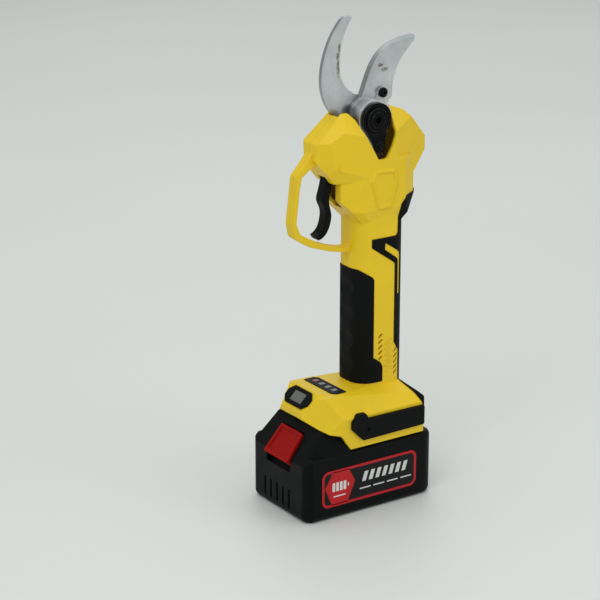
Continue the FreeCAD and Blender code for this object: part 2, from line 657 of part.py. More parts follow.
def bevel_pinion():
    """Pinion and its shaft; the shaft's lower end has a flat and sits in the planet carrier."""
    cone = math.atan(1 / BEVEL_RATIO)
    top_z = PIVOT_Z - BEVEL_R[0] * math.cos(cone)
    bottom_z = PIVOT_Z - BEVEL_R[1] * math.cos(cone)
    root = 0.66
    blank = taper(BEVEL_R[1] * math.sin(cone) * root, BEVEL_R[0] * math.sin(cone) * root,
                  (PIVOT_X, 0, bottom_z), (PIVOT_X, 0, top_z))
    tooth = bevel_tooth(-1)
    pitch_angle = 360 / PINION_TEETH
    teeth = [turned(tooth, pitch_angle * (k + 0.5), (PIVOT_X, 0, 0)) for k in range(PINION_TEETH)]
    collar = rod(5.4, (PIVOT_X, 0, 262.2), (PIVOT_X, 0, bottom_z - 0.5))
    waist = rod(3.2, (PIVOT_X, 0, bottom_z - 0.6), (PIVOT_X, 0, bottom_z + 0.1))
    shaft = rod(4.0, (PIVOT_X, 0, 246.0), (PIVOT_X, 0, 262.4))
    return fuse([blank, collar, waist, shaft, pinion_drive_end()] + teeth).cut(pinion_flat())


# ---------------------------------------------------------------- planetary gearbox and motor
def gear_profile(teeth, base, tip, base_fill, tip_fill):
    """Star-shaped toothed outline: base and tip radii, and the share of the pitch each tooth fills there."""
    pitch = 2 * math.pi / teeth
    points = []
    corners = ((base, -base_fill), (tip, -tip_fill), (tip, tip_fill), (base, base_fill))
    for k in range(teeth):
        for radius, fill in corners:
            angle = (k + fill / 2) * pitch
            points.append((radius * math.cos(angle), radius * math.sin(angle)))
    return points


def external_gear(teeth, z):
    pitch_r = MODULE * teeth / 2
    return plan_prism(gear_profile(teeth, pitch_r - 0.62, pitch_r + 0.42, 0.5, 0.16), z)


def ring_gear():
    """Fixed ring gear; it is also the gearbox housing between the motor and the bearing barrel."""
    pitch_r = MODULE * RING_TEETH / 2
    space = plan_prism(gear_profile(RING_TEETH, pitch_r - 0.38, pitch_r + 0.66, 0.80, 0.44), GEARBOX_Z)
    body = rod(12.6, (0, 0, GEARBOX_Z[0]), (0, 0, GEARBOX_Z[1])).cut(space)
    body = body.cut(rod(11.35, (0, 0, 237.2), (0, 0, GEARBOX_Z[1])))
    return moved(body, PIVOT_X)


def planet_place(index):
    angle = math.radians(360 / PLANETS * index)
    return ORBIT * math.cos(angle), ORBIT * math.sin(angle)


def planet_gear(index):
    gear = external_gear(PLANET_TEETH, GEAR_Z).cut(rod(1.25, (0, 0, 220), (0, 0, 250)))
    x, y = planet_place(index)
    return moved(turned(gear, 360 / PLANETS * index), PIVOT_X + x, y)


def planet_carrier():
    """Carrier disc over the planets, with a pin through each and a socket for the pinion's shaft."""
    disc = rod(10.6, (0, 0, GEAR_Z[1] + 1.0), (0, 0, 240.2))
    neck = rod(5.2, (0, 0, 240.2), (0, 0, 243.6))
    pins = []
    for index in range(PLANETS):
        x, y = planet_place(index)
        pins.append(rod(1.2, (x, y, GEAR_Z[0] - 0.8), (x, y, GEAR_Z[1] + 1.4)))
    carrier = moved(fuse([disc, neck] + pins), PIVOT_X)
    return carrier.cut(pinion_drive_end().cut(pinion_flat()))


def sun_gear():
    gear = external_gear(SUN_TEETH, (GEARBOX_Z[0] + 0.6, GEAR_Z[1] - 0.3))
    return moved(gear.cut(rod(SHAFT_R, (0, 0, 220), (0, 0, 250))), PIVOT_X)


def bearing(outer, bore, z):
    return ring(outer, bore, (PIVOT_X, 0, z[0]), (PIVOT_X, 0, z[1]))


def pinion_bearings():
    return group([bearing(BEARING_R, 4.0 + RUN_FIT, z) for z in ((247.0, 252.0), (255.4, 260.4))])


def six_round_motor(shape):
    return [turned(shape, 60 * k, (PIVOT_X, 0, 0)) for k in range(6)]


def motor_can():
    bottom, top = MOTOR_Z
    can = ring(MOTOR_R, MOTOR_R - 1.0, (PIVOT_X, 0, bottom + 4), (PIVOT_X, 0, top))
    lid = ring(MOTOR_R - 1.0, 3.5, (PIVOT_X, 0, top - 3), (PIVOT_X, 0, top))
    window = box((PIVOT_X + 6, PIVOT_X + 15), (-1.6, 1.6), (top - 9, top - 4.5))
    return fuse([can, lid]).cut(group(six_round_motor(window)))


def motor_end_cap():
    bottom = MOTOR_Z[0]
    cap = rod(MOTOR_R, (PIVOT_X, 0, bottom), (PIVOT_X, 0, bottom + 4))
    seat = rod(MOTOR_R - 1.8, (PIVOT_X, 0, bottom + 3), (PIVOT_X, 0, bottom + 4))
    cap = cap.cut(seat).cut(rod(3.5, (PIVOT_X, 0, bottom), (PIVOT_X, 0, bottom + 4)))
    hole = rod(1.4, (PIVOT_X + 7.4, 0, bottom), (PIVOT_X + 7.4, 0, bottom + 4))
    return cap.cut(group(six_round_motor(hole)))


def motor_stator():
    """Laminated ring with six poles, each carrying its winding."""
    z = (MOTOR_Z[0] + 10, MOTOR_Z[1] - 10)
    yoke = ring(MOTOR_R - 1.0, MOTOR_R - 2.6, (PIVOT_X, 0, z[0]), (PIVOT_X, 0, z[1]))
    pole = box((PIVOT_X + 5.2, PIVOT_X + MOTOR_R - 2.2), (-1.1, 1.1), z)
    coil = box((PIVOT_X + 6.0, PIVOT_X + MOTOR_R - 2.9), (-2.2, 2.2), (z[0] - 2.5, z[1] + 2.5))
    return fuse([yoke] + six_round_motor(pole) + six_round_motor(coil))


def motor_rotor():
    z = (MOTOR_Z[0] + 9, MOTOR_Z[1] - 9)
    core = ring(4.7, SHAFT_R, (PIVOT_X, 0, z[0]), (PIVOT_X, 0, z[1]))
    flutes = [turned(rod(0.5, (PIVOT_X + 4.9, 0, z[0]), (PIVOT_X + 4.9, 0, z[1])), 90 * k, (PIVOT_X, 0, 0))
              for k in range(4)]
    return core.cut(group(flutes))


def motor_shaft():
    return rod(SHAFT_R, (PIVOT_X, 0, MOTOR_Z[0] + 0.3), (PIVOT_X, 0, GEAR_Z[1] - 0.3))


def motor_bearings():
    low = bearing(3.5, SHAFT_R + RUN_FIT, (MOTOR_Z[0] + 0.4, MOTOR_Z[0] + 3.0))
    high = bearing(3.5, SHAFT_R + RUN_FIT, (MOTOR_Z[1] - 2.8, MOTOR_Z[1] - 0.2))
    return group([low, high])


# ---------------------------------------------------------------- trigger
TRIGGER_FRONT = [(-17.6, 256), (-18.6, 250), (-21.0, 240.1), (-22.4, 233), (-19.8, 226.5), (-19.7, 219),
                 (-21.7, 213.0), (-27.6, 208.0)]
TRIGGER_BACK = [(-25.2, 204.6), (-18.6, 208.6), (-14.9, 216.6), (-14.2, 222), (-16.2, 231.4), (-14.6, 240.9),
                (-12.6, 250), (-10.2, 256)]


def trigger():
    """S-shaped finger lever with an eye round its pin."""
    front = spline_edge(TRIGGER_FRONT, -TRIGGER_HALF)
    back = spline_edge(TRIGGER_BACK, -TRIGGER_HALF)
    tip = straight_edge(TRIGGER_FRONT[-1], TRIGGER_BACK[0], -TRIGGER_HALF)
    root = straight_edge(TRIGGER_BACK[-1], TRIGGER_FRONT[0], -TRIGGER_HALF)
    wire = Part.Wire([front, tip, back, root])
    lever = Part.Face(wire).extrude(V(0, 2 * TRIGGER_HALF, 0))
    x, z = TRIGGER_PIVOT
    eye = rod(4.4, (x, -TRIGGER_HALF, z), (x, TRIGGER_HALF, z))
    lever = fuse([lever, eye]).cut(rod(TRIGGER_PIN_R + RUN_FIT, (x, -10, z), (x, 10, z)))
    lever = lever.cut(box((x + 1.0, x + 6), (-2.2, 2.2), (243, 257.5)))
    long_edges = [e for e in lever.Edges if e.Length > 20 and abs(e.BoundBox.YLength) < 0.01]
    return lever.makeFillet(0.9, long_edges).cut(trigger_magnet())


def trigger_pin():
    x, z = TRIGGER_PIVOT
    return rod(TRIGGER_PIN_R, (x, -TRIGGER_PIN_HALF, z), (x, TRIGGER_PIN_HALF, z))


def trigger_pin_eyes():
    """Posts inside the head that hold the ends of the trigger's pin."""
    x, z = TRIGGER_PIVOT
    post = rod(3.2, (x, -16.4, z), (x, -TRIGGER_HALF - 0.7, z))
    left = post.cut(rod(TRIGGER_PIN_R, (x, -TRIGGER_PIN_HALF, z), (x, 0, z)))
    return [left, mirror_y(left)]


def trigger_spring():
    """Compression spring between the trigger's back and the post on the sensor board's bracket."""
    x, z = -10.6, 249.0
    helix = Part.makeHelix(1.25, 6.0, 1.5)
    section = Part.Wire(Part.makeCircle(0.25, V(1.5, 0, 0), V(0, 1, 0)))
    coil = Part.Wire(helix).makePipeShell([section], True, True)
    coil.rotate(V(0, 0, 0), V(0, 1, 0), 90)
    coil.translate(V(x, 0, z))
    return coil


def trigger_magnet():
    return box((-13.9, -10.6), (2.4, 4.0), (246.2, 249.2))


def sensor_board():
    board = box((-4.4, -3.0), (-6.5, 6.5), (240, 258))
    sensor = box((-5.6, -4.4), (2.2, 5.2), (246, 250))
    post = rod(1.0, (-4.4, 0, 249), (-7.0, 0, 249))
    return fuse([board, sensor, post])


# ---------------------------------------------------------------- electronics in the foot
def control_board():
    board = box((-30, 42), (-24, 24), (68.5, 70.1))
    parts = [board]
    for k in range(6):
        parts.append(box((2 + 6.4 * k, 6.6 + 6.4 * k), (13, 20), (70.1, 73.4)))
    for k in range(3):
        parts.append(rod(3.9, (10 + 9.5 * k, -14, 70.1), (10 + 9.5 * k, -14, 81)))
    parts.append(box((-18, -10), (-5, 5), (70.1, 71.8)))
    parts.append(box((-26, -22), (-9, 9), (70.1, 74.0)))
    board = fuse(parts)
    for y in (-20.5, 20.5):
        board = board.cut(rod(1.3, (-12, y, 60), (-12, y, 75)))
    return board


def motor_leads():
    """Three phase leads from the control board, up behind the motor, to its end cap."""
    leads = []
    for k, y in enumerate((-5.0, 0.0, 5.0)):
        start, knee, end = V(30.5, y, 70.1), V(30.5, y, 165), V(24.4, y * 0.5, 184.8)
        path = Part.Wire([Part.LineSegment(start, knee).toShape(), Part.LineSegment(knee, end).toShape()])
        section = Part.Wire(Part.makeCircle(1.1, start, V(0, 0, 1)))
        leads.append(path.makePipeShell([section], True, False, 2))
    return group(leads)


def terminal_block():
    """Black block at the back of the rail channel, holding the tool's blade terminals."""
    block = box((36, 46), (-18.0, 18.0), (52.5, 68.4))
    for y in TERMINAL_Y:
        block = block.cut(box((30, 47), (y - 0.45, y + 0.45), (54.0, 61.0)))
    return block


def tool_terminals():
    return group([box((24.0, 45.0), (y - 0.4, y + 0.4), (54.2, 60.8)) for y in TERMINAL_Y])


def on_front_slope(shape):
    """Places a flat piece, made about the origin with +Z outwards, on the foot's sloped front."""
    low, high = DISPLAY_BLOCK[-1], DISPLAY_BLOCK[-2]
    slope = math.degrees(math.atan2(high[1] - low[1], high[0] - low[0]))
    copy = shape.copy()
    copy.rotate(V(0, 0, 0), V(0, 1, 0), -slope)
    copy.translate(V((low[0] + high[0]) / 2, 0, (low[1] + high[1]) / 2 + 0.8))
    return copy


def screen_box(z):
    return box((-SCREEN[0], SCREEN[0]), (-SCREEN[1], SCREEN[1]), z)


def display_outline():
    length, width, corner = DISPLAY
    half_l, half_w = length / 2, width / 2
    return [(-half_l, -half_w + corner), (-half_l, half_w - corner), (-half_l + corner, half_w),
            (half_l - corner, half_w), (half_l, half_w - corner), (half_l, -half_w + corner),
            (half_l - corner, -half_w), (-half_l + corner, -half_w)]


def display_bezel():
    frame = plan_prism(display_outline(), (-2.4, 0.7), 0.8)
    return on_front_slope(frame.cut(screen_box((-3, 1))))


def display_window():
    return on_front_slope(screen_box((-1.4, 0.35)))


def display_recess():
    return on_front_slope(plan_prism(display_outline(), (-2.4, 3.0), 0.8))


def strip_outline():
    return [(STRIP_X[0], -STRIP_HALF + 3), (STRIP_X[0] + 3, -STRIP_HALF), (STRIP_X[1], -STRIP_HALF),
            (STRIP_X[1], STRIP_HALF - 3), (STRIP_X[1] - 3, STRIP_HALF), (STRIP_X[0], STRIP_HALF)]


def lens_boxes():
    return [box((-19.0, -14.4), (y - 1.9, y + 1.9), (DECK_Z - 1.2, DECK_Z + 0.75)) for y in (-12, -4, 4, 12)]


def indicator_strip():
    return plan_prism(strip_outline(), (DECK_Z - 1.2, DECK_Z + 0.5), 0.5).cut(group(lens_boxes()))


def indicator_lenses():
    return group(lens_boxes())


def strip_recess():
    return plan_prism(strip_outline(), (DECK_Z - 1.2, DECK_Z + 3), 0.5)


# ---------------------------------------------------------------- battery pack
def case_outline(inset):
    """Plan outline of the space inside the pack's walls."""
    back = BATT_X[1] - inset - PACK_WALL
    half = FRONT_END_HALF - inset
    return [(BATT_X[0] + inset, -half), (back, -half), (back, half), (BATT_X[0] + inset, half)]


def front_end_outline(back_x):
    """Plan outline of the pack's slightly narrower front end, back to a given x."""
    return [(BATT_X[0], -FRONT_END_HALF), (back_x, -FRONT_END_HALF, 0), (back_x, FRONT_END_HALF, 0),
            (BATT_X[0], FRONT_END_HALF)]


def pack_block(z, round_bottom, round_top):
    """The pack between two heights: the cell box, and the narrower front end that carries the grips."""
    cell_box = plan_prism([(CELL_BOX_X, -BATT_HALF, 0), (BATT_X[1], -BATT_HALF), (BATT_X[1], BATT_HALF),
                           (CELL_BOX_X, BATT_HALF, 0)], z, 10)
    front = plan_prism(front_end_outline(-30), z, FRONT_END_R)
    for level, radius in ((z[0], round_bottom), (z[1], round_top)):
        if radius > 0:
            cell_box = cell_box.makeFillet(radius, level_edges(cell_box, level, CELL_BOX_X + 0.1, 100))
            front = front.makeFillet(radius, level_edges(front, level, -100, -30.1))
    return fuse([cell_box, front])


def level_edges(shape, z, x_low, x_high):
    """Edges that lie wholly at one height and at least partly between two limits in X."""
    flat = [e for e in shape.Edges if abs(e.BoundBox.ZMax - z) < 0.01 and abs(e.BoundBox.ZMin - z) < 0.01]
    return [e for e in flat if e.BoundBox.XMax > x_low and e.BoundBox.XMin < x_high]


def button_liner():
    """The walls of the pocket behind the release button, before the pocket itself is cut."""
    return slope_plate((-21, 12.2), 18.2, 16.3, (-10.5, 0), 1.0)


def button_pocket():
    return slope_plate((-19.4, 10.2), 16.2, 14.5, (-8.8, 12), 1.2)


def lower_case():
    envelope = pack_block((0, SEAM_Z), 5.0, 0)
    hollow = plan_prism(case_outline(PACK_WALL), (2.2, 60), 6).cut(button_liner())
    body = envelope.cut(hollow).cut(button_pocket())
    grooves = [box((BATT_X[0] - 1, BATT_X[0] + 1), (y - 1.3, y + 1.3), (6.5, 21)) for y in range(-14, 22, 8)]
    body = body.cut(group(grooves))
    for x, y in CASE_SCREWS:
        post = rod(3.4, (x, y, 2.0), (x, y, SEAM_Z))
        body = fuse([body, post.common(plan_prism(case_outline(1.0), (0, 60), 7))])
        body = body.cut(rod(1.7, (x, y, -1), (x, y, 60))).cut(rod(3.0, (x, y, -1), (x, y, 3.4)))
    return body


def slope_place(shape):
    """Places a piece made about the origin, +Z outwards and +X up the slope, on the pack's sloped front."""
    copy = shape.copy()
    copy.rotate(V(0, 0, 0), V(0, 1, 0), -BUTTON_SLOPE)
    copy.translate(V(-50.4, 0, 54.2))
    return copy


def slope_plate(u, half_low, half_high, w, corner):
    """A trapezoid plate on the slope: u along the slope, half widths at its two ends, w its depth range."""
    points = [(u[0], -half_low), (u[1], -half_high), (u[1], half_high), (u[0], half_low)]
    return slope_place(plan_prism(points, w, corner))


def catch_arm(spare):
    """The arm from the button to its catch; spare widens it all round for the openings it moves through."""
    points = [(-44.0 - spare, 57.4), (-41.2, 55.0 - spare), (-35.9 + spare, 61.8 - spare),
              (-35.9 + spare, 71.4), (-36.9, 71.6), (-38.4 - spare, 70.4), (-38.4 - spare, 65.0)]
    return side_prism(points, (-4 - spare / 2, 4 + spare / 2))


def catch_opening():
    arm = catch_arm(1.2)
    shift = BUTTON_TRAVEL + 0.4
    angle = math.radians(BUTTON_SLOPE)
    pressed = moved(arm, shift * math.sin(angle), 0, -shift * math.cos(angle))
    halfway = moved(arm, shift * math.sin(angle) / 2, 0, -shift * math.cos(angle) / 2)
    return fuse([arm, halfway, pressed])


def upper_case():
    """Cell box lid with the sloped nose and the T-shaped rails on top."""
    body = trim(pack_block((SEAM_Z, BATT_Z), 0, 4.0), *FRONT_SLOPE)
    nose = side_prism([(-58, 43), (FRONT_SLOPE[0][0], FRONT_SLOPE[0][2]), (-38, 69.4), (-31.3, 69.4), (-19.6, 51.9), (-19.6, 43)], (-60, 60))
    nose = nose.common(plan_prism(front_end_outline(-10), (40, 80), FRONT_END_R))
    nose = trim_both(nose, (-38, -26.5, 69.3), (-0.2, -1, 0.45))
    nose = trim_both(nose, (-31, -22, 69.25), (0, -0.4, 1))
    neck = box((-20.5, 50), (-NECK_HALF, NECK_HALF), (BATT_Z - 1, 58.95))
    flange = box((-20.5, 50), (-RAIL_HALF, RAIL_HALF), (58.9, 62.6))
    envelope = fuse([body, nose, neck, flange])
    hollow = trim(plan_prism(case_outline(PACK_WALL), (SEAM_Z - 1, BATT_Z - 2.2), 6), *FRONT_SLOPE, PACK_WALL)
    nose_hollow = side_prism([(-54, 40), (-54, 45.6), (-37.2, 66.4), (-32.6, 66.4), (-22.4, 51.2), (-22.4, 40)],
                             (-24, 24))
    rail_hollow = box((-18, 48), (-NECK_HALF + 2, NECK_HALF - 2), (BATT_Z - 4, 60.4))
    solid = envelope.cut(fuse([hollow, nose_hollow, rail_hollow]).cut(button_liner()))
    solid = solid.cut(box((22, 60), (-18.5, 18.5), (52.2, 66)))
    floor = box((20, 48.5), (-19.5, 19.5), (BATT_Z - 2.2, 52.2))
    solid = fuse([solid, floor]).cut(button_pocket())
    solid = solid.cut(catch_opening())
    for x, y in CASE_SCREWS:
        post = rod(3.4, (x, y, SEAM_Z), (x, y, BATT_Z - 2)).common(plan_prism(case_outline(1.0), (0, 60), 7))
        solid = fuse([solid, post]).cut(rod(1.4, (x, y, 0), (x, y, BATT_Z - 3)))
    for y in TERMINAL_Y:
        solid = solid.cut(box((24, 34), (y - 2.6, y + 2.6), (BATT_Z - 4, 52.4)))
    return solid


def battery_button():
    """Red release button with a sunk centre, a finger ledge, and the arm and catch behind it."""
    plate = slope_plate((-15.2, 9.2), 15.3, 13.7, (-4.4, 1.8), 1.4)
    sunk = slope_plate((-12.6, 6.8), 12.6, 11.4, (0.9, 3.0), 1.0)
    under = slope_plate((-12.8, 6.8), 12.9, 11.4, (-6.0, -1.6), 1.0)
    spring_stud = slope_place(rod(1.9, (-3, 0, -4.6), (-3, 0, -1.4)))
    return fuse([plate.cut(sunk).cut(under), spring_stud, catch_arm(0.0)])


def latch_spring():
    """Compression spring round the button's stud, seated on the floor of the pocket."""
    helix = Part.makeHelix(1.6, 6.4, 2.6)
    section = Part.Wire(Part.makeCircle(0.3, V(2.6, 0, 0), V(0, 1, 0)))
    coil = Part.Wire(helix).makePipeShell([section], True, True)
    coil.translate(V(-3, 0, -8.4))
    return slope_place(coil)


def battery_labels():
    """The two side stickers, a thin rounded plate on each flank."""
    left = side_prism(LABEL, (-BATT_HALF - 0.25, -BATT_HALF), 6.0)
    return group([left, mirror_y(left)])


def cell_places():
    places = []
    for column in range(CELL_COLUMNS):
        for row in range(CELL_ROWS):
            places.append(((column - (CELL_COLUMNS - 1) / 2) * CELL_PITCH, 13.4 + row * CELL_PITCH))
    return places


def battery_cells():
    cells = []
    for x, z in cell_places():
        can = rod(CELL_R, (x, -CELL_LENGTH / 2, z), (x, CELL_LENGTH / 2 - 1.2, z))
        cap = rod(3.0, (x, CELL_LENGTH / 2 - 1.2, z), (x, CELL_LENGTH / 2, z))
        cells.append(fuse([can, cap]))
    return group(cells)


def cell_holder():
    """Two end frames that seat the cells, joined along the bottom."""
    frames = []
    for y in ((-33.5, -27.5), (27.5, 33.5)):
        frames.append(box((-50.5, 50.5), y, (3.0, 43.0)))
    holder = fuse(frames + [box((-48, 48), (-28, 28), (2.6, 3.8))])
    for x, z in cell_places():
        holder = holder.cut(rod(CELL_R + 0.05, (x, -32.6, z), (x, 32.6, z)))
        holder = holder.cut(rod(6.5, (x, -40, z), (x, 40, z)))
    for x, y in CASE_SCREWS:
        holder = holder.cut(rod(4.0, (x, y, 0), (x, y, 60)))
    return holder


def battery_board():
    """Protection board on top of the cells, with its parts."""
    parts = [box((-40, 46), (-24, 24), (43.6, 45.0))]
    parts += [box((-30 + 9 * k, -25 + 9 * k), (9, 14), (45.0, 46.6)) for k in range(5)]
    return fuse(parts)


def battery_contacts():
    """Forked spring contacts that take the tool's blade terminals."""
    contacts = []
    for y in TERMINAL_Y:
        foot = box((24.5, 33.5), (y - 2.2, y + 2.2), (45.0, 52.8))
        slit = box((20, 40), (y - 0.7, y + 0.7), (47.4, 62))
        tongues = box((25.5, 32.5), (y - 1.6, y + 1.6), (52.8, 60.6))
        contacts.append(fuse([foot, tongues]).cut(slit))
    return group(contacts)


def case_screws():
    screws = []
    for x, y in CASE_SCREWS:
        head = rod(2.8, (x, y, 1.0), (x, y, 3.4))
        screws.append(fuse([head, rod(1.4, (x, y, 3.4), (x, y, 46.5))]).cut(cross_recess(x, y, 1.0)))
    return group(screws)


def cross_recess(x, y, z):
    return fuse([box((x - 1.6, x + 1.6), (y - 0.4, y + 0.4), (z, z + 1.1)),
                 box((x - 0.4, x + 0.4), (y - 1.6, y + 1.6), (z, z + 1.1))])


# ---------------------------------------------------------------- fasteners
def housing_screws():
    """Screws from the right half into the left; each head lies sunk in its counterbore."""
    screws = []
    for x, z in SCREW_SPOTS:
        head = rod(2.8, (x, 9.2, z), (x, 11.2, z))
        dome = taper(2.8, 1.8, (x, 11.2, z), (x, 12.0, z))
        shank = rod(1.5, (x, -6, z), (x, 9.2, z))
        recess = hex_socket(x, 10.6, z, 2.4, 2.0)
        screws.append(fuse([head, dome, shank]).cut(recess))
    return group(screws)


def gear_case_screws():
    return group([button_screw(x, COVER_SCREW_Z, COVER_Y[0] - 1.6, COVER_Y[0], COVER_Y[1] + 1.8, 2.6, 1.45, 2.2)
                  for x in COVER_SCREW_X])


def fixed_blade_screws():
    screws = []
    for x, z in BLADE_SCREWS:
        head = rod(3.4, (x, CASE_Y - 4, z), (x, CASE_Y - 1.2, z))
        shank = rod(1.9, (x, FIXED_Y[0] + 0.3, z), (x, CASE_Y - 4, z))
        screws.append(fuse([head, shank]).cut(hex_socket(x, CASE_Y - 3.0, z, 3.0, 3)))
    return group(screws)


def drive_screw():
    x, z = DRIVE_SCREW
    seat = MOVING_Y[0] - LUG_THICKNESS
    return button_screw(x, z, seat - 2.6, seat, MOVING_Y[1] - 0.35, 3.6, 1.98, 2.8)


def lock_plate_screw():
    x, z = LOCK_TAIL
    return button_screw(x, z, LOCK_Y - 1.1, LOCK_Y + 0.2, COVER_Y[1] - 0.3, 2.6, 1.48, 2.0)


def pivot_bush():
    return hub(BUSH_R, (SECTOR_Y, MOVING_Y[1])).cut(hub(BOLT_R + RUN_FIT, (-30, 0)))


def head_parts():
    return {
        "fixed_blade": fixed_blade(),
        "fixed_blade_screws": fixed_blade_screws(),
        "moving_blade": moving_blade(),
        "sector_gear": sector_gear(),
        "drive_screw": drive_screw(),
        "pivot_bush": pivot_bush(),
        "pivot_bolt": pivot_bolt(),
        "pivot_nut": pivot_nut(),
        "lock_plate": lock_plate(),
        "lock_plate_screw": lock_plate_screw(),
        "gear_case": gear_case(),
        "gear_case_cover": gear_case_cover(),
        "gear_case_screws": gear_case_screws(),
    }


def drive_parts():
    parts = {
        "bevel_pinion": bevel_pinion(),
        "pinion_bearings": pinion_bearings(),
        "planet_carrier": planet_carrier(),
        "ring_gear": ring_gear(),
        "sun_gear": sun_gear(),
        "motor_can": motor_can(),
        "motor_end_cap": motor_end_cap(),
        "motor_stator": motor_stator(),
        "motor_rotor": motor_rotor(),
        "motor_shaft": motor_shaft(),
        "motor_bearings": motor_bearings(),
    }
    for index in range(PLANETS):
        parts[f"planet_gear_{index + 1}"] = planet_gear(index)
    return parts


def control_parts():
    return {
        "trigger": trigger(),
        "trigger_pin": trigger_pin(),
        "trigger_spring": trigger_spring(),
        "trigger_magnet": trigger_magnet(),
        "trigger_sensor_board": sensor_board(),
        "control_board": control_board(),
        "motor_leads": motor_leads(),
        "terminal_block": terminal_block(),
        "tool_terminals": tool_terminals(),
        "display_bezel": display_bezel(),
        "display_window": display_window(),
        "indicator_strip": indicator_strip(),
        "indicator_lenses": indicator_lenses(),
    }


def battery_parts():
    return {
        "battery_case_lower": lower_case(),
        "battery_case_upper": upper_case(),
        "battery_case_screws": case_screws(),
        "battery_button": battery_button(),
        "latch_spring": latch_spring(),
        "battery_labels": battery_labels(),
        "battery_cells": battery_cells(),
        "cell_holder": cell_holder(),
        "battery_board": battery_board(),
        "battery_contacts": battery_contacts(),
    }


def main():
    os.makedirs("parts", exist_ok=True)
    parts = {"housing_screws": housing_screws()}
    names = ("housing", "front_grip", "back_grip", "bumper")
    for name, shape in zip(names, housing_parts()):
        parts[name + "_left"] = split_left(shape)
        parts[name + "_right"] = split_right(shape)
    for family in (head_parts(), drive_parts(), control_parts(), battery_parts()):
        parts.update(family)
    for name, shape in parts.items():
        print(f"{name:24s} {len(shape.Solids):3d} solids  {shape.Volume:10.1f} mm3  valid {shape.isValid()}")
        shape.exportStep(f"parts/{name}.step")
    print(len(parts), "nodes")


main()
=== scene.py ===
import math

import bmesh
import bpy
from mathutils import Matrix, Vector


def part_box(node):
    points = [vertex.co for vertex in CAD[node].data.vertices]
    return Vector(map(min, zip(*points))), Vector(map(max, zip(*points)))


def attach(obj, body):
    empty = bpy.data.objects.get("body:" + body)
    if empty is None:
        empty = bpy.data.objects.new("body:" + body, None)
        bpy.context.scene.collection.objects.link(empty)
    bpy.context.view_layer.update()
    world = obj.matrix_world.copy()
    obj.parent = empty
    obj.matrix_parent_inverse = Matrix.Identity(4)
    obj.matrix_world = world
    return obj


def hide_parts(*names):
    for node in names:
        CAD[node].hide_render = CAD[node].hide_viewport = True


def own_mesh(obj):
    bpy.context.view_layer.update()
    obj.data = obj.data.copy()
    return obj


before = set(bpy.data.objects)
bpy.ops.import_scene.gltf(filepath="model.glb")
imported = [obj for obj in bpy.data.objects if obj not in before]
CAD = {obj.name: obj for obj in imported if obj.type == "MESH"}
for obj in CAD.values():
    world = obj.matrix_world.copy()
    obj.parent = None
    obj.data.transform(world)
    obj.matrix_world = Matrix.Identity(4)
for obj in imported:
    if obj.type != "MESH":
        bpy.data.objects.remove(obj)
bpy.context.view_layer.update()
MM = 0.001

# ---------------------------------------------------------------- camera and studio
CAMERA_PLACE = (-0.845, -1.2005, 0.6425)
CAMERA_TILT, CAMERA_TURN = 71.58, -33.88
CAMERA_LENS = 126.0
FLOOR_REACH = 14.0


def srgb(r, g, b):
    """Linear colour from the usual 0-255 values."""
    def linear(v):
        v = v / 255
        return v / 12.92 if v <= 0.04045 else ((v + 0.055) / 1.055) ** 2.4
    return (linear(r), linear(g), linear(b), 1.0)


YELLOW = srgb(240, 203, 22)
BLACK_RUBBER = srgb(11, 13, 12)
BLACK_PLASTIC = srgb(8, 11, 11)
BATTERY_BLACK = srgb(6, 8, 8)
RED = srgb(156, 14, 8)
LABEL_RED = srgb(186, 28, 34)
LABEL_BLACK = srgb(10, 11, 12)
TURNED = (0.52, 0.52, 0.52, 1)
BLACK_OXIDE = (0.010, 0.010, 0.011, 1)
ZINC = (0.55, 0.56, 0.58, 1)
ALLOY = (0.66, 0.67, 0.68, 1)
BLACK_DUST = srgb(80, 78, 72)
# Below this sum of red, green and blue a plastic counts as dark and gets less sheen.
DARK_SUM = 0.5
FILM_ROUGHNESS = 0.28

# Dried sap on the blades: centre x and z, reach in x and z, millimetres.
SAP_STAINS = [(-6.6, 336.5, 1.7, 3.6), (-6.3, 328, 1.6, 8.0), (-5.4, 342, 1.2, 5.0), (31.2, 323.5, 4.2, 1.8),
              (27.8, 327, 3.2, 1.8), (11.9, 315, 1.3, 3.4)]
# Painted shadow of the moving blade's turned hub, cast on the fixed blade near the pivot: same columns.
HUB_SHADOW = (2.0, 297.0, 6.0, 4.5)
# Painted shade on the gear case cover's tail, standing in for the shadowed inside of the slot: same columns.
TAIL_SHADE = (17.0, 258.0, 14.0, 17.0)


